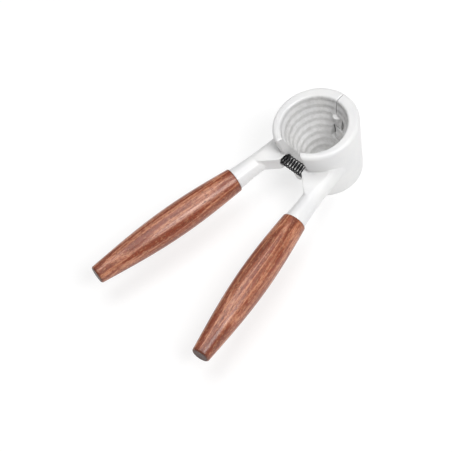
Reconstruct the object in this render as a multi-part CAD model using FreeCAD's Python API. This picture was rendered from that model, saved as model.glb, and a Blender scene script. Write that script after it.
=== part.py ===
import FreeCAD, Part
import os
from math import atan2, cos, hypot, pi, radians, sin, tan
from FreeCAD import Vector

# Two-lever nutcracker. Two half cups hinge on a vertical pin at the far side of the cup (+Y).
# The wooden grips point towards -Y. Millimetres, +Z up, the cup's base on Z = 0.

# --- driving dimensions ---------------------------------------------------------------
# cup
cup_height = 46.0
rim_radius = 26.0
base_radius = 20.2
rim_rounding = 2.2
base_rounding = 1.2
mouth_radius = 20.6
mouth_chamfer = 0.8
hollow_shift = -1.36
gap_rounding = 4.0
ring_count = 8
ring_pitch = 4.6
ring_step = 1.5
riser_height = 2.5
riser_draft = 0.35
# hinge
hinge_offset = 16.3
half_opening_deg = 11.6
closing_deg = 22.6
seam_x = -0.7
seam_gap = 0.4
knuckle_radius = 3.3
knuckle_gap = 0.5
knuckle_root = 2.0
sweep_allowance_deg = 1.0
nose_length = 9.0
nose_sides = (4.8, -0.2, 3.3)
knuckle_depths = (10.5, 18.4, 26.8, cup_height)
knuckle_sides = (-1, 1, -1)
pin_radius = 1.5
pin_running_clearance = 0.05
pin_top_depth = 12.5
pin_recess = 0.6
pin_edge = 0.3
# arms
arm_axis_depth = 21.5
arm_end_x = 24.5
arm_end_y = -49.3
arm_splay_deg = 11.1
arm_stations = (0.0, 7.0, 17.0, 28.0, 44.0)
arm_half_widths = (6.6, 6.1, 5.6, 5.7, 6.0)
arm_half_heights = (6.6, 6.1, 5.6, 5.7, 5.8)
arm_squareness = (2.0, 2.0, 2.2, 2.6, 3.0)
arm_side_shifts = (0.0, 0.3, 0.7, 0.8, 1.0)
arm_section_points = 28
shoulder_top = 5.9
shoulder_bottom = -3.6
shoulder_outline = ((6.0, -12.0), (6.0, -22.8), (18.6, -33.8), (23.0, -33.0), (22.0, -16.0), (14.0, -8.0))
# spring
spring_y = -21.4
spring_depth = 19.8
spring_radius = 3.7
spring_wire_radius = 0.42
spring_turns = 14
spring_end_play = 0.1
socket_radius = 3.8
socket_bottom_x = 14.0
# grips
grip_length = 98.4
grip_stations = (0.7, 10.0, 25.0, 42.0, 59.0, 74.0, 88.0, 97.7)
grip_radii = (7.4, 8.15, 9.1, 9.5, 9.0, 7.9, 6.55, 5.55)
grip_arm_edge = 0.5
grip_tail_edge = 0.7
grip_gap = 0.05
# studs
stud_radius = 2.5
stud_in_arm = 14.0
stud_in_grip = 46.0
stud_end_play = 1.0
stud_edge = 0.6

# making
overrun = 1.0
plane_tolerance = 1e-6

# --- derived places -------------------------------------------------------------------
splay = radians(arm_splay_deg)
half_opening = radians(half_opening_deg)
tail_face_radius = grip_radii[-1] - grip_tail_edge
tail_reach = -arm_end_y + (grip_gap + grip_length) * cos(splay) + tail_face_radius * sin(splay)
cup_y = (tail_reach - rim_radius) / 2
hinge_y = cup_y + hinge_offset
arm_z = cup_height - arm_axis_depth
far = 3 * tail_reach


def place(x, y, z=0.0):
    """A point given from the cup's centre line."""
    return Vector(x, y + cup_y, z)


def prism(corners, low, high):
    """A straight prism over a plan outline."""
    outline = Part.makePolygon([Vector(x, y, low) for x, y in corners + corners[:1]])
    return Part.Face(outline).extrude(Vector(0, 0, high - low))


def mirrored(shape):
    return shape.mirror(Vector(0, 0, 0), Vector(1, 0, 0))


def cylinder(radius, start, end):
    return Part.makeCylinder(radius, (end - start).Length, start, end - start)


# --- cup ------------------------------------------------------------------------------
def outer_cup():
    """The tapered outside: a line turned round the axis, with rounded rim and base edges."""
    corners = [
        Vector(0, 0, 0),
        Vector(base_radius, 0, 0),
        Vector(rim_radius, 0, cup_height),
        Vector(0, 0, cup_height),
    ]
    face = Part.Face(Part.makePolygon(corners + corners[:1]))
    solid = face.revolve(Vector(0, 0, 0), Vector(0, 0, 1), 360)
    rim = [edge for edge in solid.Edges if is_circle(edge, cup_height)]
    solid = solid.makeFillet(rim_rounding, rim)
    base = [edge for edge in solid.Edges if is_circle(edge, 0.0)]
    solid = solid.makeFillet(base_rounding, base)
    return solid.translated(Vector(0, cup_y, 0))


def is_circle(edge, height):
    box = edge.BoundBox
    level = abs(box.ZMin - height) < plane_tolerance and abs(box.ZMax - height) < plane_tolerance
    return level and box.XLength > base_radius


def cavity():
    """The stepped hollow: each ring is a steep riser and a sloping ledge, narrower by one step."""
    top = cup_height
    first = mouth_radius - mouth_chamfer
    corners = [(0.0, top + overrun), (mouth_radius, top + overrun)]
    corners += [(mouth_radius, top), (first, top - mouth_chamfer)]
    for ring in range(ring_count):
        radius = first - ring * ring_step
        ring_top = top - mouth_chamfer - ring * ring_pitch
        corners.append((radius - riser_draft, ring_top - riser_height))
        corners.append((radius - ring_step, ring_top - ring_pitch))
    corners.append((0.0, top - mouth_chamfer - ring_count * ring_pitch))
    points = [Vector(radius, 0, height) for radius, height in corners + corners[:1]]
    solid = Part.Face(Part.makePolygon(points)).revolve(Vector(0, 0, 0), Vector(0, 0, 1), 360)
    return solid.translated(Vector(0, cup_y + hollow_shift, 0))


# --- arm ------------------------------------------------------------------------------
def arm_point(station, side_shift=0.0, up=0.0):
    """A point on the right arm: station from the grip towards the cup, shift away from the middle."""
    x = arm_end_x - station * sin(splay) + side_shift * cos(splay)
    y = arm_end_y + station * cos(splay) + side_shift * sin(splay)
    return place(x, y, arm_z + up)


def arm_section(station, half_width, half_height, squareness, shift):
    """A superellipse across the arm: |u/width|^n + |v/height|^n = 1."""
    points = []
    for step in range(arm_section_points):
        angle = 2 * pi * step / arm_section_points
        c = cos(angle)
        s = sin(angle)
        u = half_width * abs(c) ** (2 / squareness) * (1 if c >= 0 else -1)
        v = half_height * abs(s) ** (2 / squareness) * (1 if s >= 0 else -1)
        points.append(arm_point(station, shift + u, v))
    curve = Part.BSplineCurve()
    curve.interpolate(points, PeriodicFlag=True)
    return Part.Wire([curve.toShape()])


def right_arm():
    sections = zip(arm_stations, arm_half_widths, arm_half_heights, arm_squareness, arm_side_shifts)
    bar = Part.makeLoft([arm_section(*section) for section in sections], True, False)
    outline = [(x, y + cup_y) for x, y in shoulder_outline]
    shoulder = prism(outline, arm_z + shoulder_bottom, arm_z + shoulder_top)
    return bar.fuse(shoulder)


# --- hinge regions --------------------------------------------------------------------
def side_space(side):
    """All of space on one side of the seam and of the gap face, which runs out from the pin."""
    seam = seam_x + side * seam_gap / 2
    reach = (side * far * sin(half_opening), hinge_y - far * cos(half_opening))
    corners = [(seam, hinge_y), reach, (side * far, reach[1]), (side * far, far), (seam, far)]
    return prism(corners, -far, far)


def knuckle(owner, side_x, low, high):
    """A round barrel about the pin, and in front of it a nose that reaches across to side_x."""
    barrel = cylinder(knuckle_radius, Vector(0, hinge_y, low), Vector(0, hinge_y, high))
    nose_end = hinge_y - nose_length
    back = owner * (knuckle_radius + knuckle_root)
    nose = prism([(side_x, nose_end), (back, nose_end), (back, hinge_y), (side_x, hinge_y)], low, high)
    return barrel, nose


def knuckle_room(owner, side_x, low, high):
    """What the other half leaves free: the space that the knuckle sweeps as the halves close."""
    width = -owner * side_x + knuckle_gap
    reach = hypot(width, nose_length + knuckle_gap)
    turn = radians(closing_deg + sweep_allowance_deg)
    barrel = cylinder(knuckle_radius + knuckle_gap, Vector(0, hinge_y, low), Vector(0, hinge_y, high))
    disc = cylinder(reach, Vector(0, hinge_y, low), Vector(0, hinge_y, high))
    edge = (width * cos(turn), hinge_y + width * sin(turn))
    end = (edge[0] + far * sin(turn), edge[1] - far * cos(turn))
    corners = [(0.0, hinge_y), edge, end, (-far, end[1]), (-far, hinge_y)]
    swept = disc.common(prism(corners, low, high))
    room = barrel.fuse(swept)
    return mirrored(room) if owner > 0 else room


# --- jaws -----------------------------------------------------------------------------
def gap_corner(radius):
    """Where the right gap face meets a circle about the cup: the far root of a quadratic."""
    along = (sin(half_opening), -cos(half_opening))
    middle = -hinge_offset * along[1]
    reach = middle + (radius ** 2 - hinge_offset ** 2 + middle ** 2) ** 0.5
    return (reach * along[0], hinge_offset + reach * along[1])


def gap_rounding_tool():
    """What is taken off the right gap face's outer edge: a corner less its arc, along the wall's slope."""
    top = gap_corner(rim_radius)
    base = gap_corner(base_radius)
    corner = place(top[0], top[1], cup_height)
    down = place(base[0], base[1], 0.0) - corner
    to_hinge = Vector(-sin(half_opening), cos(half_opening), 0)
    round_wall = Vector(-top[1], top[0], 0).normalize()
    half_angle = to_hinge.getAngle(round_wall) / 2
    flank = gap_rounding / tan(half_angle)
    depth = gap_rounding / sin(half_angle) - gap_rounding
    inward = (to_hinge + round_wall).normalize()
    first = corner + to_hinge * flank
    last = corner + round_wall * flank
    outside = corner - inward * gap_rounding
    arc = Part.Arc(first, corner + inward * depth, last).toShape()
    wire = Part.Wire([arc, Part.makeLine(last, outside), Part.makeLine(outside, first)])
    spare = down * (overrun / cup_height)
    return Part.Face(wire).translated(-spare).extrude(down + spare * 2)


def spring_socket():
    z = cup_height - spring_depth
    return cylinder(socket_radius, place(0, spring_y, z), place(socket_bottom_x, spring_y, z))


def stud_hole():
    return cylinder(stud_radius, arm_point(-overrun), arm_point(stud_in_arm + stud_end_play))


def jaw(side):
    """One casting: a half cup, its arm, its knuckles, and room for the other half's knuckles."""
    arm = right_arm()
    socket = spring_socket()
    hole = stud_hole()
    rounding = gap_rounding_tool()
    if side < 0:
        arm = mirrored(arm)
        rounding = mirrored(rounding)
        socket = mirrored(socket)
        hole = mirrored(hole)
    outside = outer_cup()
    hollow = cavity()
    half = outside.cut(rounding).fuse(arm)
    solid = half.common(side_space(side)).cut(hollow)
    for index, owner in enumerate(knuckle_sides):
        top = cup_height - knuckle_depths[index]
        bottom = cup_height - knuckle_depths[index + 1]
        if owner == side:
            low = bottom if index == len(knuckle_sides) - 1 else bottom + knuckle_gap / 2
            barrel, nose = knuckle(owner, nose_sides[index], low, top - knuckle_gap / 2)
            solid = solid.fuse(barrel.common(outside)).fuse(nose.common(outside).cut(hollow))
        else:
            solid = solid.cut(knuckle_room(owner, nose_sides[index], bottom, top))
    clearance = pin_running_clearance if side > 0 else 0.0
    pin_top = Vector(0, hinge_y, cup_height - pin_top_depth)
    solid = solid.cut(cylinder(pin_radius + clearance, Vector(0, hinge_y, -overrun), pin_top))
    solid = solid.cut(socket).cut(hole)
    return solid.removeSplitter()


# --- small pieces ---------------------------------------------------------------------
def hinge_pin():
    pin = cylinder(pin_radius, Vector(0, hinge_y, pin_recess), Vector(0, hinge_y, cup_height - pin_top_depth))
    return pin.makeChamfer(pin_edge, [edge for edge in pin.Edges if edge.Closed])


def return_spring():
    """A round wire wound as a helix between the two socket bottoms."""
    coil_radius = spring_radius - spring_wire_radius
    length = 2 * (socket_bottom_x - spring_wire_radius - spring_end_play)
    helix = Part.makeHelix(length / spring_turns, length, coil_radius)
    wire = Part.Wire(helix.Edges)
    pitch_angle = atan2(length / spring_turns, 2 * pi * coil_radius)
    along_wire = Vector(0, cos(pitch_angle), sin(pitch_angle))
    circle = Part.makeCircle(spring_wire_radius, Vector(coil_radius, 0, 0), along_wire)
    solid = wire.makePipeShell([Part.Wire([circle])], True, True)
    solid.rotate(Vector(0, 0, 0), Vector(0, 1, 0), 90)
    return solid.translated(place(-length / 2, spring_y, cup_height - spring_depth))


def grip():
    """A turned barrel about the arm's axis, with a blind bore for the stud."""
    edge = grip_arm_edge
    tail = grip_length
    outline = Part.BSplineCurve()
    outline.interpolate([Vector(r, 0, s) for s, r in zip(grip_stations, grip_radii)])
    corners = [
        Vector(grip_radii[-1], 0, grip_stations[-1]),
        Vector(tail_face_radius, 0, tail),
        Vector(0, 0, tail),
        Vector(0, 0, 0),
        Vector(grip_radii[0] - edge, 0, 0),
        Vector(grip_radii[0], 0, grip_stations[0]),
    ]
    ends = Part.makePolygon(corners)
    profile = Part.Wire([outline.toShape()] + ends.Edges)
    body = Part.Face(profile).revolve(Vector(0, 0, 0), Vector(0, 0, 1), 360)
    bore = cylinder(stud_radius, Vector(0, 0, -overrun), Vector(0, 0, stud_in_grip + stud_end_play))
    body = body.cut(bore)
    body.rotate(Vector(0, 0, 0), Vector(1, 0, 0), 90)
    body.rotate(Vector(0, 0, 0), Vector(0, 0, 1), arm_splay_deg)
    return body.translated(arm_point(-grip_gap))


def stud():
    rod = cylinder(stud_radius, arm_point(-stud_in_grip), arm_point(stud_in_arm))
    return rod.makeChamfer(stud_edge, [edge for edge in rod.Edges if edge.Closed])


# --- write the nodes ------------------------------------------------------------------
right_grip = grip()
right_stud = stud()
nodes = {
    "left_jaw": jaw(-1),
    "right_jaw": jaw(1),
    "hinge_pin": hinge_pin(),
    "return_spring": return_spring(),
    "left_grip": mirrored(right_grip),
    "right_grip": right_grip,
    "left_stud": mirrored(right_stud),
    "right_stud": right_stud,
}
os.makedirs("parts", exist_ok=True)
for name, shape in nodes.items():
    solid = shape.Solids[0] if len(shape.Solids) == 1 else shape
    box = solid.BoundBox
    print(name, "solids", len(shape.Solids), "valid", solid.isValid(), "volume", round(solid.Volume, 1),
          "x", round(box.XMin, 2), round(box.XMax, 2), "y", round(box.YMin, 2), round(box.YMax, 2),
          "z", round(box.ZMin, 2), round(box.ZMax, 2))
    solid.exportStep("parts/" + name + ".step")
print("cup_y", round(cup_y, 4), "hinge_y", round(hinge_y, 4))
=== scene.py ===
import math

import bmesh
import bpy
import numpy as np
from mathutils import Matrix, Vector


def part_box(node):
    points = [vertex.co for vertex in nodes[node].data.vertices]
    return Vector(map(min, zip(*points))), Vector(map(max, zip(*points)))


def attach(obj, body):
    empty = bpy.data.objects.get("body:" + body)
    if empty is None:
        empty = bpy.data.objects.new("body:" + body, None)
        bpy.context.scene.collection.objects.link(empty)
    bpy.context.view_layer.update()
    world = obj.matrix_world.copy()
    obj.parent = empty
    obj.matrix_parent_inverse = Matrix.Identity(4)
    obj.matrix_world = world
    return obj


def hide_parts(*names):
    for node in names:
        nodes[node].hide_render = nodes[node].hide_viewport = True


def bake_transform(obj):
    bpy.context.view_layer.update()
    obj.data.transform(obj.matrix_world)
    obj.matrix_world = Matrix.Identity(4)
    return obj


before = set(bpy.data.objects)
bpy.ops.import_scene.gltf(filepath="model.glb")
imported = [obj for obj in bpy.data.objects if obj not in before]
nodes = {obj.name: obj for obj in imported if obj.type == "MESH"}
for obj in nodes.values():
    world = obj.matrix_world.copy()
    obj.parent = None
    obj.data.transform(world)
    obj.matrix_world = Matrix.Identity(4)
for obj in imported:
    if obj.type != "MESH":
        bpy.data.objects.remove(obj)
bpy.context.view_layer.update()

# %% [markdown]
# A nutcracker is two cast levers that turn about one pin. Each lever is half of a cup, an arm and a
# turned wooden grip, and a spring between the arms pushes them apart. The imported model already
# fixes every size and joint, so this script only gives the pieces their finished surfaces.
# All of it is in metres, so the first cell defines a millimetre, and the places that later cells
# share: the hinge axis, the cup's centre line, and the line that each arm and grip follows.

mm = 0.001
pin_low, pin_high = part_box("hinge_pin")
hinge = Vector(((pin_low.x + pin_high.x) / 2, (pin_low.y + pin_high.y) / 2, 0.0))
hinge_to_cup = 16.3 * mm
cup_centre = Vector((0.0, hinge.y - hinge_to_cup, 0.0))
cup_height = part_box("left_jaw")[1].z

splay = math.radians(11.1)
arm_end = np.array([24.5 * mm, cup_centre.y - 49.3 * mm, cup_height - 21.5 * mm])
along_grip = np.array([math.sin(splay), -math.cos(splay), 0.0])
print("hinge", tuple(round(v, 5) for v in hinge), "cup centre", tuple(round(v, 5) for v in cup_centre))

# %% [markdown]
# Most new pieces here are surfaces swept by a circle: a grip is a profile turned about a line, and
# the spring is a small circle carried along a helix. Both can be written as one grid of points, rows
# along the piece and columns around it, so one helper turns any such grid into a mesh. Where a row
# shrinks to a point on the axis, merging the doubles afterwards closes the pole.


# %% helper: a mesh from a grid of points
def mesh_from_grid(name, grid):
    """Quads between neighbours in grid[row, column, xyz]; the last column meets the first."""
    rows, columns = grid.shape[:2]
    row, column = np.meshgrid(np.arange(rows - 1), np.arange(columns), indexing="ij")
    following = (column + 1) % columns
    corners = [row * columns + column, (row + 1) * columns + column,
               (row + 1) * columns + following, row * columns + following]
    quads = np.stack(corners, axis=-1).reshape(-1, 4)
    mesh = bpy.data.meshes.new(name)
    mesh.from_pydata(grid.reshape(-1, 3).tolist(), [], quads.tolist())
    piece = bpy.data.objects.new(name, mesh)
    bpy.context.scene.collection.objects.link(piece)
    return piece


def close_and_face_outwards(piece, distance=1e-6):
    """Merges doubled points, fills any open end, and points every face away from the inside."""
    body = bmesh.new()
    body.from_mesh(piece.data)
    bmesh.ops.remove_doubles(body, verts=body.verts, dist=distance)
    open_edges = [edge for edge in body.edges if edge.is_boundary]
    if open_edges:
        bmesh.ops.holes_fill(body, edges=open_edges, sides=0)
    bmesh.ops.recalc_face_normals(body, faces=body.faces)
    body.to_mesh(piece.data)
    body.free()
    piece.data.polygons.foreach_set("use_smooth", np.ones(len(piece.data.polygons), bool))
    return piece


# %% [markdown]
# Painted and stained finishes share the same start: one Principled shader whose colour, roughness
# and height come from noise. A small helper keeps the node wiring readable. Every pattern reads the
# Object coordinates, so it stays fixed to the piece while the levers move.


# %% helper: building a material from nodes
class Finish:
    """A material under construction: add(kind) makes a node, link joins two sockets."""

    def __init__(self, name):
        self.material = bpy.data.materials.new(name)
        self.material.use_nodes = True
        self.tree = self.material.node_tree
        self.shader = self.tree.nodes["Principled BSDF"]
        self.column = 0

    def add(self, kind, **settings):
        node = self.tree.nodes.new(kind)
        self.column -= 180
        node.location = (self.column, 0)
        for key, value in settings.items():
            setattr(node, key, value)
        return node

    def link(self, source, target):
        self.tree.links.new(source, target)

    def place(self, turn=(0.0, 0.0, 0.0), stretch=(1.0, 1.0, 1.0), start=(0.0, 0.0, 0.0)):
        """Object coordinates, moved, turned and stretched; used by every pattern that follows."""
        coordinates = self.add("ShaderNodeTexCoord")
        moved = self.add("ShaderNodeMapping", vector_type="POINT")
        moved.inputs["Location"].default_value = start
        moved.inputs["Rotation"].default_value = turn
        self.link(coordinates.outputs["Object"], moved.inputs["Vector"])
        stretched = self.add("ShaderNodeVectorMath", operation="MULTIPLY")
        stretched.inputs[1].default_value = stretch
        self.link(moved.outputs["Vector"], stretched.inputs[0])
        return stretched.outputs["Vector"]

    def noise(self, where, size, detail=3.0, roughness=0.5, distortion=0.0):
        """Noise whose features are about size metres across."""
        node = self.add("ShaderNodeTexNoise")
        node.inputs["Scale"].default_value = 1.0 / size
        node.inputs["Detail"].default_value = detail
        node.inputs["Roughness"].default_value = roughness
        node.inputs["Distortion"].default_value = distortion
        self.link(where, node.inputs["Vector"])
        return node.outputs["Fac"]

    def ramp(self, value, stops):
        """A colour ramp; stops are (position, colour) pairs, a colour being three numbers."""
        node = self.add("ShaderNodeValToRGB")
        ramp = node.color_ramp
        while len(ramp.elements) < len(stops):
            ramp.elements.new(0.5)
        for element, (position, colour) in zip(ramp.elements, stops):
            element.position = position
            element.color = (*colour, 1.0)
        self.link(value, node.inputs["Fac"])
        return node.outputs["Color"]

    def span(self, value, low, high, to_low, to_high):
        """Carries value from low..high to to_low..to_high, held at both ends."""
        node = self.add("ShaderNodeMapRange", clamp=True)
        for socket, number in zip(("From Min", "From Max", "To Min", "To Max"), (low, high, to_low, to_high)):
            node.inputs[socket].default_value = number
        self.link(value, node.inputs["Value"])
        return node.outputs["Result"]

    def mix(self, share, first, second):
        """A colour mix; share, first and second are sockets or plain values."""
        node = self.add("ShaderNodeMix", data_type="RGBA")
        for socket, given in zip((0, 6, 7), (share, first, second)):
            if isinstance(given, bpy.types.NodeSocket):
                self.link(given, node.inputs[socket])
            elif socket == 0:
                node.inputs[socket].default_value = given
            else:
                node.inputs[socket].default_value = (*given, 1.0)
        return node.outputs[2]

    def calculate(self, operation, first, second):
        """One arithmetic step on two sockets or plain numbers."""
        node = self.add("ShaderNodeMath", operation=operation)
        for socket, given in enumerate((first, second)):
            if isinstance(given, bpy.types.NodeSocket):
                self.link(given, node.inputs[socket])
            else:
                node.inputs[socket].default_value = given
        return node.outputs[0]

    def bump(self, height, depth, strength=1.0):
        """Height 0..1 read as a relief of depth metres."""
        node = self.add("ShaderNodeBump")
        node.inputs["Strength"].default_value = strength
        node.inputs["Distance"].default_value = depth
        self.link(height, node.inputs["Height"])
        self.link(node.outputs["Normal"], self.shader.inputs["Normal"])

    def set(self, **values):
        for key, value in values.items():
            self.shader.inputs[key.replace("_", " ")].default_value = value


def wear(piece, finish):
    """Gives a piece its one material."""
    piece.data.materials.clear()
    piece.data.materials.append(finish.material)


# %% [markdown]
# The levers are aluminium castings under a white powder coat. Powder melts into a thick, slightly
# wavy skin, the orange peel, which breaks up the highlights and is a few tenths of a millimetre
# across. Inside the cup the coat is mixed towards grey in noisy blotches, a painted shade for the
# deep hollow, and the same mask makes it a little duller. A flat white would look like plastic, so
# the peel goes into the bump, and slow noise moves the roughness and the tint.


# %% finish: white powder coat
def powder_coat():
    finish = Finish("white powder coat")
    where = finish.place()
    centred = finish.place(start=(-cup_centre.x, -cup_centre.y, 0.0), stretch=(1.0, 1.0, 0.0))
    cloud = finish.noise(where, 14 * mm, detail=2.0)
    peel = finish.noise(where, 0.9 * mm, detail=2.0, roughness=0.45)
    speck = finish.noise(where, 0.35 * mm, detail=1.0)
    tint = finish.ramp(cloud, [(0.35, (0.765, 0.765, 0.77)), (0.65, (0.805, 0.803, 0.797))])

    from_axis = finish.add("ShaderNodeVectorMath", operation="LENGTH")
    finish.link(centred, from_axis.inputs[0])
    inside = finish.span(from_axis.outputs["Value"], 18.6 * mm, 20.2 * mm, 1.0, 0.0)
    # painted shade: inside the cup the white is mixed towards a mid grey, broken into blotches by this noise;
    # the same mask also raises the roughness
    shade_blotches = finish.noise(where, 2.4 * mm, detail=5.0, roughness=0.65)
    shade_and_dullness_inside = finish.calculate("MULTIPLY", inside, finish.span(shade_blotches, 0.40, 0.70, 0.25, 0.75))
    colour = finish.mix(shade_and_dullness_inside, tint, (0.52, 0.515, 0.505))
    finish.link(colour, finish.shader.inputs["Base Color"])

    gloss = finish.span(cloud, 0.3, 0.7, 0.30, 0.40)
    finish.link(finish.calculate("ADD", gloss, finish.calculate("MULTIPLY", shade_and_dullness_inside, 0.25)),
                finish.shader.inputs["Roughness"])
    relief = finish.calculate("ADD", peel, finish.calculate("MULTIPLY", speck, 0.25))
    finish.bump(relief, 0.035 * mm, strength=0.6)
    finish.set(Specular_IOR_Level=0.5, Coat_Weight=0.15, Coat_Roughness=0.2)
    return finish


white_coat = powder_coat()
print("finish", white_coat.material.name)

# %% [markdown]
# A casting has no knife-sharp edges: the mould rounds them, and the coat rounds them again. The CAD
# edges are exact corners, and a Bevel on a triangulated mesh breaks up near curves. A voxel remesh
# of a merged copy gives an even skin, and a few smoothing passes then round every corner by a few
# tenths of a millimetre, as the coat does. Where the flat shoulder plate meets the round arm the
# mould has a larger fillet, so that stretch is smoothed more, by a weight that fades with distance.

# %% the two cast levers
voxel = 0.36 * mm
coat_passes = 3
fillet_passes = 30
cup_clearance = 26.6 * mm
cup_fade = 1.5 * mm
grip_clearance = 46.0 * mm
grip_fade = 3.0 * mm
arm_from_cup = 49.3 * mm
arm_half_band = 3.0 * mm
plate_end = 31.5 * mm
plate_fade = 2.5 * mm


def weight_near_shoulder(points, side):
    """1 along the arm's top and where the plate runs out, 0 on the cup and the plate's free edges."""
    across = points[:, 0] * side
    back = points[:, 1] - cup_centre.y
    beside_cup = (np.hypot(points[:, 0], back) - cup_clearance) / cup_fade
    before_grip = (back + grip_clearance) / grip_fade
    arm_line = arm_end[0] - (back + arm_from_cup) * math.tan(splay)
    on_arm = (across - arm_line + arm_half_band) / plate_fade
    past_plate = (-plate_end - back) / plate_fade
    joined = np.maximum(on_arm, past_plate)
    return np.clip(np.minimum(np.minimum(beside_cup, before_grip), joined), 0.0, 1.0)


def paint_weights(piece, name, weights, levels=8):
    """Stores weights as a vertex group, in a few steps."""
    group = piece.vertex_groups.new(name=name)
    steps = np.round(weights * levels).astype(int)
    for step in range(1, levels + 1):
        chosen = np.nonzero(steps == step)[0]
        group.add(chosen.tolist(), step / levels, "REPLACE")


def finished_mesh(piece):
    """Applies every modifier, so that the piece's mesh is its final one."""
    evaluated = piece.evaluated_get(bpy.context.evaluated_depsgraph_get())
    mesh = bpy.data.meshes.new_from_object(evaluated)
    piece.modifiers.clear()
    piece.data = mesh


def coated_casting(node_name, name, body, side):
    """A merged copy of a cast half, remeshed evenly and with its edges rounded by smoothing."""
    casting = bpy.data.objects.new(name, nodes[node_name].data.copy())
    bpy.context.scene.collection.objects.link(casting)
    close_and_face_outwards(casting, distance=2e-6)
    remesh = casting.modifiers.new("even skin", "REMESH")
    remesh.mode = "VOXEL"
    remesh.voxel_size = voxel
    remesh.use_smooth_shade = True
    finished_mesh(casting)

    points = np.zeros(len(casting.data.vertices) * 3)
    casting.data.vertices.foreach_get("co", points)
    weights = weight_near_shoulder(points.reshape(-1, 3), side)
    paint_weights(casting, "mould fillet", weights)
    fillet = casting.modifiers.new("mould fillet", "SMOOTH")
    fillet.factor = 0.5
    fillet.iterations = fillet_passes
    fillet.vertex_group = "mould fillet"
    coat = casting.modifiers.new("coat", "SMOOTH")
    coat.factor = 0.5
    coat.iterations = coat_passes
    finished_mesh(casting)
    casting.vertex_groups.clear()
    wear(casting, white_coat)
    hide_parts(node_name)
    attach(casting, body)
    print(name, "faces", len(casting.data.polygons))


coated_casting("left_jaw", "left_coated_casting", "left_lever", -1)
coated_casting("right_jaw", "right_coated_casting", "right_lever", 1)

# %% [markdown]
# The grips are turned from a reddish hardwood: an even barrel, thickest a little before the middle.
# The profile is a smooth curve of radius against the distance from the arm, with a small round at
# both ends and a blind bore for the stud. Turning it about the arm's line gives the whole surface at
# once. Each point also keeps how much it shows end grain, which drinks stain and looks darker.

# %% the two turned grips
grip_length = 98.4 * mm
grip_start = 0.05 * mm
stations = np.array([0.7, 10.0, 25.0, 42.0, 59.0, 74.0, 88.0, 97.7]) * mm
radii = np.array([7.4, 8.15, 9.1, 9.5, 9.0, 7.9, 6.55, 5.55]) * mm
barrel = np.polynomial.Polynomial.fit(stations, radii, 5)
arm_end_round = 0.55 * mm
tail_round = 1.3 * mm
bore_radius = 2.5 * mm
bore_depth = 47.0 * mm
around = 160


def rounded_corner(inner, outer, round_radius, rising, steps=7):
    """A quarter circle between an end face and the barrel, as (station, radius) rows."""
    angle = np.linspace(0.0, math.pi / 2, steps)
    if rising:
        return np.stack([inner - round_radius * np.cos(angle) + round_radius,
                         outer - round_radius + round_radius * np.sin(angle)], axis=1)
    return np.stack([inner - round_radius + round_radius * np.sin(angle),
                     outer - round_radius + round_radius * np.cos(angle)], axis=1)


def grip_profile():
    """Rows of (station, radius, end grain), from the bore's floor round to the tail's centre."""
    arm_corner = rounded_corner(0.0, float(barrel(arm_end_round)), arm_end_round, True)
    tail_corner = rounded_corner(grip_length, float(barrel(grip_length - tail_round)), tail_round, False)
    side = np.linspace(arm_end_round, grip_length - tail_round, 120)[1:-1]
    barrel_rows = np.stack([side, barrel(side)], axis=1)
    bore = np.array([[bore_depth, 0.0], [bore_depth, bore_radius], [0.0, bore_radius]])
    ring = np.linspace(bore_radius, arm_corner[0, 1], 8)[1:-1]
    arm_face = np.stack([np.zeros_like(ring), ring], axis=1)
    tail_radius = np.linspace(tail_corner[-1, 1], 0.0, 12)[1:]
    dish = 0.12 * mm * np.cos(np.clip(tail_radius / tail_corner[-1, 1], 0, 1) * math.pi / 2)
    tail_face = np.stack([grip_length - dish, tail_radius], axis=1)
    rows = np.concatenate([bore, arm_face, arm_corner, barrel_rows, tail_corner, tail_face])
    end_grain = np.concatenate([
        np.ones(len(bore) + len(arm_face)),
        np.linspace(1.0, 0.15, len(arm_corner)),
        np.zeros(len(barrel_rows)),
        np.linspace(0.2, 1.0, len(tail_corner)),
        np.ones(len(tail_face)),
    ])
    return rows, end_grain


def turned_grip(name, side):
    """Each profile row becomes a circle: centre + radius * (cos(angle) * sideways + sin(angle) * up)."""
    rows, end_grain = grip_profile()
    mirror = np.array([side, 1.0, 1.0])
    line = along_grip * mirror
    sideways = np.array([math.cos(splay), math.sin(splay) * side, 0.0])
    up = np.array([0.0, 0.0, 1.0])
    angle = np.linspace(0.0, 2 * math.pi, around, endpoint=False)
    circle = np.cos(angle)[:, None] * sideways + np.sin(angle)[:, None] * up
    centres = arm_end * mirror + (rows[:, :1] + grip_start) * line
    grid = centres[:, None, :] + rows[:, 1][:, None, None] * circle[None, :, :]
    grip = mesh_from_grid(name, grid)
    grain = grip.data.attributes.new("end_grain", "FLOAT", "POINT")
    grain.data.foreach_set("value", np.repeat(end_grain, around).astype(np.float32))
    close_and_face_outwards(grip)
    return grip


left_grip = turned_grip("left_turned_grip", -1)
right_grip = turned_grip("right_turned_grip", 1)
print("grip faces", len(left_grip.data.polygons), len(right_grip.data.polygons))

# %% [markdown]
# Under a thin satin varnish the wood shows three things at once: broad tan and brown bands where the
# growth rings are cut lengthwise, fine reddish mottling, and short dark pores drawn out along the
# grain. One noise cannot do all three, so each is its own pattern, stretched along the grip. The
# coordinates are turned by the grip's own angle first, so the grain runs down the grip, and each
# grip starts from another place in the pattern, as two pieces of wood would.


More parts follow.
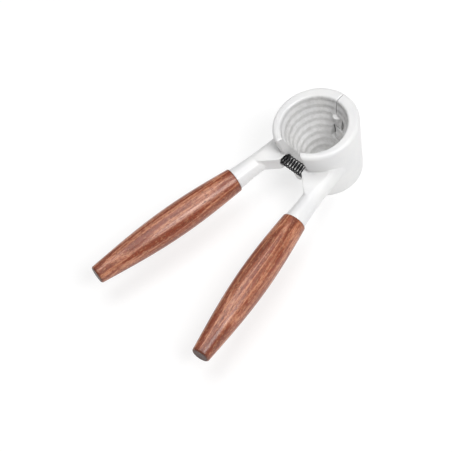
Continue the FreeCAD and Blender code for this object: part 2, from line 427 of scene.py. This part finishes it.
# %% finish: varnished hardwood
def hardwood(name, side, start):
    finish = Finish(name)
    turn = (0.0, 0.0, -side * splay)
    bands_at = finish.place(turn=turn, stretch=(1.0, 0.035, 1.0), start=start)
    streaks_at = finish.place(turn=turn, stretch=(1.0, 0.06, 1.0), start=start)
    mottle_at = finish.place(turn=turn, stretch=(1.0, 0.5, 1.0), start=start)
    pores_at = finish.place(turn=turn, stretch=(1.0, 0.12, 1.0), start=start)

    bands = finish.noise(bands_at, 5.4 * mm, detail=2.0, distortion=0.4)
    streaks = finish.noise(streaks_at, 1.1 * mm, detail=4.0, roughness=0.6)
    mottle = finish.noise(mottle_at, 1.1 * mm, detail=4.0, roughness=0.7)
    pores = finish.noise(pores_at, 0.34 * mm, detail=2.0, roughness=0.5)

    body = finish.ramp(bands, [(0.40, (0.185, 0.040, 0.016)), (0.47, (0.340, 0.100, 0.045)),
                               (0.54, (0.600, 0.260, 0.150)), (0.61, (0.250, 0.056, 0.024))])
    streaked = finish.mix(finish.span(streaks, 0.46, 0.62, 0.0, 0.42), body, (0.165, 0.040, 0.016))
    reddened = finish.mix(finish.span(mottle, 0.51, 0.63, 0.0, 0.60), streaked, (0.260, 0.045, 0.015))
    lightened = finish.mix(finish.span(mottle, 0.47, 0.37, 0.0, 0.45), reddened, (0.560, 0.270, 0.140))
    pore_mask = finish.span(pores, 0.58, 0.68, 0.0, 0.80)
    pored = finish.mix(pore_mask, lightened, (0.090, 0.024, 0.012))

    end_grain = finish.add("ShaderNodeAttribute", attribute_type="GEOMETRY", attribute_name="end_grain")
    end_share = finish.calculate("MULTIPLY", end_grain.outputs["Fac"], 0.85)
    finish.link(finish.mix(end_share, pored, (0.045, 0.014, 0.009)), finish.shader.inputs["Base Color"])

    gloss = finish.span(streaks, 0.3, 0.7, 0.36, 0.46)
    rough = finish.calculate("MAXIMUM", pore_mask, finish.calculate("MULTIPLY", end_share, 2.0))
    finish.link(finish.calculate("ADD", gloss, finish.calculate("MULTIPLY", rough, 0.2)),
                finish.shader.inputs["Roughness"])
    hollows = finish.calculate("MULTIPLY", pore_mask, -0.8)
    finish.bump(finish.calculate("ADD", finish.calculate("MULTIPLY", streaks, 0.5), hollows), 0.05 * mm, 0.55)
    finish.set(Specular_IOR_Level=0.42, Coat_Weight=0.32, Coat_Roughness=0.2)
    return finish


grips = [(left_grip, "left_grip", "left_lever", -1, (0.011, 0.002, 0.004)),
         (right_grip, "right_grip", "right_lever", 1, (0.037, 0.019, 0.008))]
for grip, node_name, body, side, start in grips:
    wear(grip, hardwood(node_name + " hardwood", side, start))
    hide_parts(node_name)
    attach(grip, body)
    print(grip.name, "rides on", body)

# %% [markdown]
# The return spring is hard-drawn wire with a black oxide skin, wound open in the middle and closed
# for half a turn at both ends so that it sits square in its sockets. Its centre line is a helix
# whose advance per turn changes smoothly. A circle carried along that line makes the wire.

# %% the return spring
spring_low, spring_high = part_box("return_spring")
wire_radius = 0.42 * mm
spring_centre = (spring_low + spring_high) / 2
coil_radius = (spring_high.z - spring_low.z) / 2 - wire_radius
spring_half = (spring_high.x - spring_low.x) / 2 - wire_radius
turns = 14
closed_share = 0.5 / turns


def spring_line(steps_per_turn=40):
    """x advances slowly over the first and last half turn and evenly between; y and z go round."""
    share = np.linspace(0.0, 1.0, turns * steps_per_turn + 1)
    ends = wire_radius * 1.1
    x = np.interp(share, [0.0, closed_share, 1.0 - closed_share, 1.0],
                  [-spring_half, -spring_half + ends, spring_half - ends, spring_half])
    angle = share * turns * 2 * math.pi
    return np.stack([spring_centre.x + x, spring_centre.y + coil_radius * np.cos(angle),
                     spring_centre.z + coil_radius * np.sin(angle)], axis=1)


def wire_along(name, line, radius, sides=14):
    """A circle of that radius across the line at each of its points, with both ends closed to a point."""
    tangent = np.gradient(line, axis=0)
    tangent /= np.linalg.norm(tangent, axis=1, keepdims=True)
    outward = line - spring_centre
    outward[:, 0] = 0.0
    outward -= (outward * tangent).sum(axis=1, keepdims=True) * tangent
    outward /= np.linalg.norm(outward, axis=1, keepdims=True)
    across = np.cross(tangent, outward)
    angle = np.linspace(0.0, 2 * math.pi, sides, endpoint=False)
    ring = np.cos(angle)[None, :, None] * outward[:, None] + np.sin(angle)[None, :, None] * across[:, None]
    grid = line[:, None] + radius * ring
    first = np.repeat(line[:1, None], sides, axis=1)
    last = np.repeat(line[-1:, None], sides, axis=1)
    return close_and_face_outwards(mesh_from_grid(name, np.concatenate([first, grid, last])))


def black_oxide():
    finish = Finish("black oxide steel")
    where = finish.place()
    cloud = finish.noise(where, 1.6 * mm, detail=3.0)
    scratch = finish.noise(finish.place(stretch=(4.0, 1.0, 1.0)), 0.25 * mm, detail=2.0)
    finish.link(finish.ramp(cloud, [(0.35, (0.022, 0.022, 0.025)), (0.70, (0.075, 0.074, 0.078))]),
                finish.shader.inputs["Base Color"])
    finish.link(finish.span(scratch, 0.35, 0.65, 0.22, 0.38), finish.shader.inputs["Roughness"])
    finish.bump(scratch, 0.006 * mm, strength=0.5)
    finish.set(Metallic=0.85)
    return finish


spring = wire_along("return_spring_wire", spring_line(), wire_radius)
wear(spring, black_oxide())
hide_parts("return_spring")
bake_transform(spring)
print("spring faces", len(spring.data.polygons), "coil radius", round(coil_radius / mm, 3), "mm")

# %% [markdown]
# The hinge pin is ground steel and the two studs inside the grips are turned. Their CAD shapes are
# right, so the nodes stay and only get a finish: fine turning marks round the bar, which stretch the
# highlights along it, and a slow change of tint from handling oil.


# %% finish: ground and turned steel
def bar_steel(name, turn, mark_size, colour):
    finish = Finish(name)
    marks_at = finish.place(turn=turn, stretch=(0.05, 1.0, 0.05))
    marks = finish.noise(marks_at, mark_size, detail=3.0, roughness=0.6)
    cloud = finish.noise(finish.place(), 5 * mm, detail=2.0)
    darker = tuple(channel * 0.78 for channel in colour)
    finish.link(finish.ramp(cloud, [(0.35, darker), (0.65, colour)]), finish.shader.inputs["Base Color"])
    finish.link(finish.span(marks, 0.35, 0.65, 0.24, 0.40), finish.shader.inputs["Roughness"])
    finish.bump(marks, 0.004 * mm, strength=0.5)
    finish.set(Metallic=1.0)
    return finish


wear(nodes["hinge_pin"], bar_steel("ground pin steel", (math.pi / 2, 0.0, 0.0), 0.2 * mm, (0.58, 0.57, 0.55)))
for side, node_name in ((-1, "left_stud"), (1, "right_stud")):
    wear(nodes[node_name], bar_steel(node_name + " steel", (0.0, 0.0, -side * splay), 0.3 * mm,
                                     (0.50, 0.49, 0.47)))
print("pin and studs finished")

# %% [markdown]
# The object stands on a plain pale table. A large soft light high on the right reaches into the cup,
# and a wider one overhead fills the tops. A weak one on the left lifts the arm that stands in the
# cup's shade, and a faint light all round keeps anything from going black. The floor is part of the
# stage and not of the object. A very smooth floor looks computed, so it has a fine paper-like grain.

# %% stage: floor and light
floor_half = 3.0
floor_mesh = bpy.data.meshes.new("floor")
floor_mesh.from_pydata([(-floor_half, -floor_half, 0.0), (floor_half, -floor_half, 0.0),
                        (floor_half, floor_half, 0.0), (-floor_half, floor_half, 0.0)], [], [(0, 1, 2, 3)])
floor = bpy.data.objects.new("floor", floor_mesh)
floor.location.z = -0.0002
bpy.context.scene.collection.objects.link(floor)
paper = Finish("pale paper")
paper_grain = paper.noise(paper.place(), 1.2 * mm, detail=3.0)
paper.link(paper.ramp(paper_grain, [(0.3, (0.38, 0.38, 0.38)), (0.7, (0.41, 0.41, 0.41))]),
           paper.shader.inputs["Base Color"])
paper.bump(paper_grain, 0.01 * mm, strength=0.3)
paper.set(Roughness=0.9, Specular_IOR_Level=0.1, Emission_Color=(1.0, 1.0, 1.0, 1.0), Emission_Strength=0.64)
wear(floor, paper)

world = bpy.data.worlds.new("studio")
world.use_nodes = True
world.node_tree.nodes["Background"].inputs["Color"].default_value = (1.0, 1.0, 1.0, 1.0)
world.node_tree.nodes["Background"].inputs["Strength"].default_value = 0.05
bpy.context.scene.world = world


def softbox(name, direction, distance, size, watts):
    """A square area light that far from the object's middle, aimed at it."""
    lamp = bpy.data.lights.new(name, "AREA")
    lamp.size = size
    lamp.energy = watts
    light = bpy.data.objects.new(name, lamp)
    towards = Vector(direction).normalized()
    light.location = Vector((0.0, 0.02, 0.02)) + towards * distance
    light.rotation_euler = towards.to_track_quat("Z", "Y").to_euler()
    bpy.context.scene.collection.objects.link(light)


softbox("right softbox", (0.66, 0.08, 0.75), 2.0, 0.9, 26.0)
softbox("overhead softbox", (-0.05, 0.10, 0.98), 2.0, 1.5, 25.0)
softbox("left fill", (-0.75, 0.05, 0.66), 2.0, 1.2, 3.0)
print("stage ready")

# %% [markdown]
# The view is from the right-hand grip's side, looking down at a bit over fifty degrees, with the
# object's up leaning to the left. A long lens from more than a metre away keeps the grips nearly
# parallel. The camera's three axes follow from azimuth, elevation and lean.

# %% camera
azimuth = math.radians(62.774)
elevation = math.radians(54.52)
lean = math.radians(21.611)
distance = 1278 * mm
looked_at = Vector((-5.559, -15.164, 24.876)) * mm
towards_camera = Vector((math.sin(azimuth) * math.cos(elevation), -math.cos(azimuth) * math.cos(elevation),
                         math.sin(elevation)))
level = Vector((math.cos(azimuth), math.sin(azimuth), 0.0))
upright = towards_camera.cross(level)
right = level * math.cos(lean) - upright * math.sin(lean)
up = upright * math.cos(lean) + level * math.sin(lean)
lens = bpy.data.cameras.new("camera")
lens.sensor_width = 36.0
lens.lens = 176.7
camera = bpy.data.objects.new("camera", lens)
turned = Matrix((right, up, towards_camera)).transposed().to_4x4()
camera.matrix_world = Matrix.Translation(looked_at + towards_camera * distance) @ turned
bpy.context.scene.collection.objects.link(camera)
bpy.context.scene.camera = camera
bpy.context.scene.view_settings.view_transform = "Standard"
print("camera at", tuple(round(v, 4) for v in camera.location))
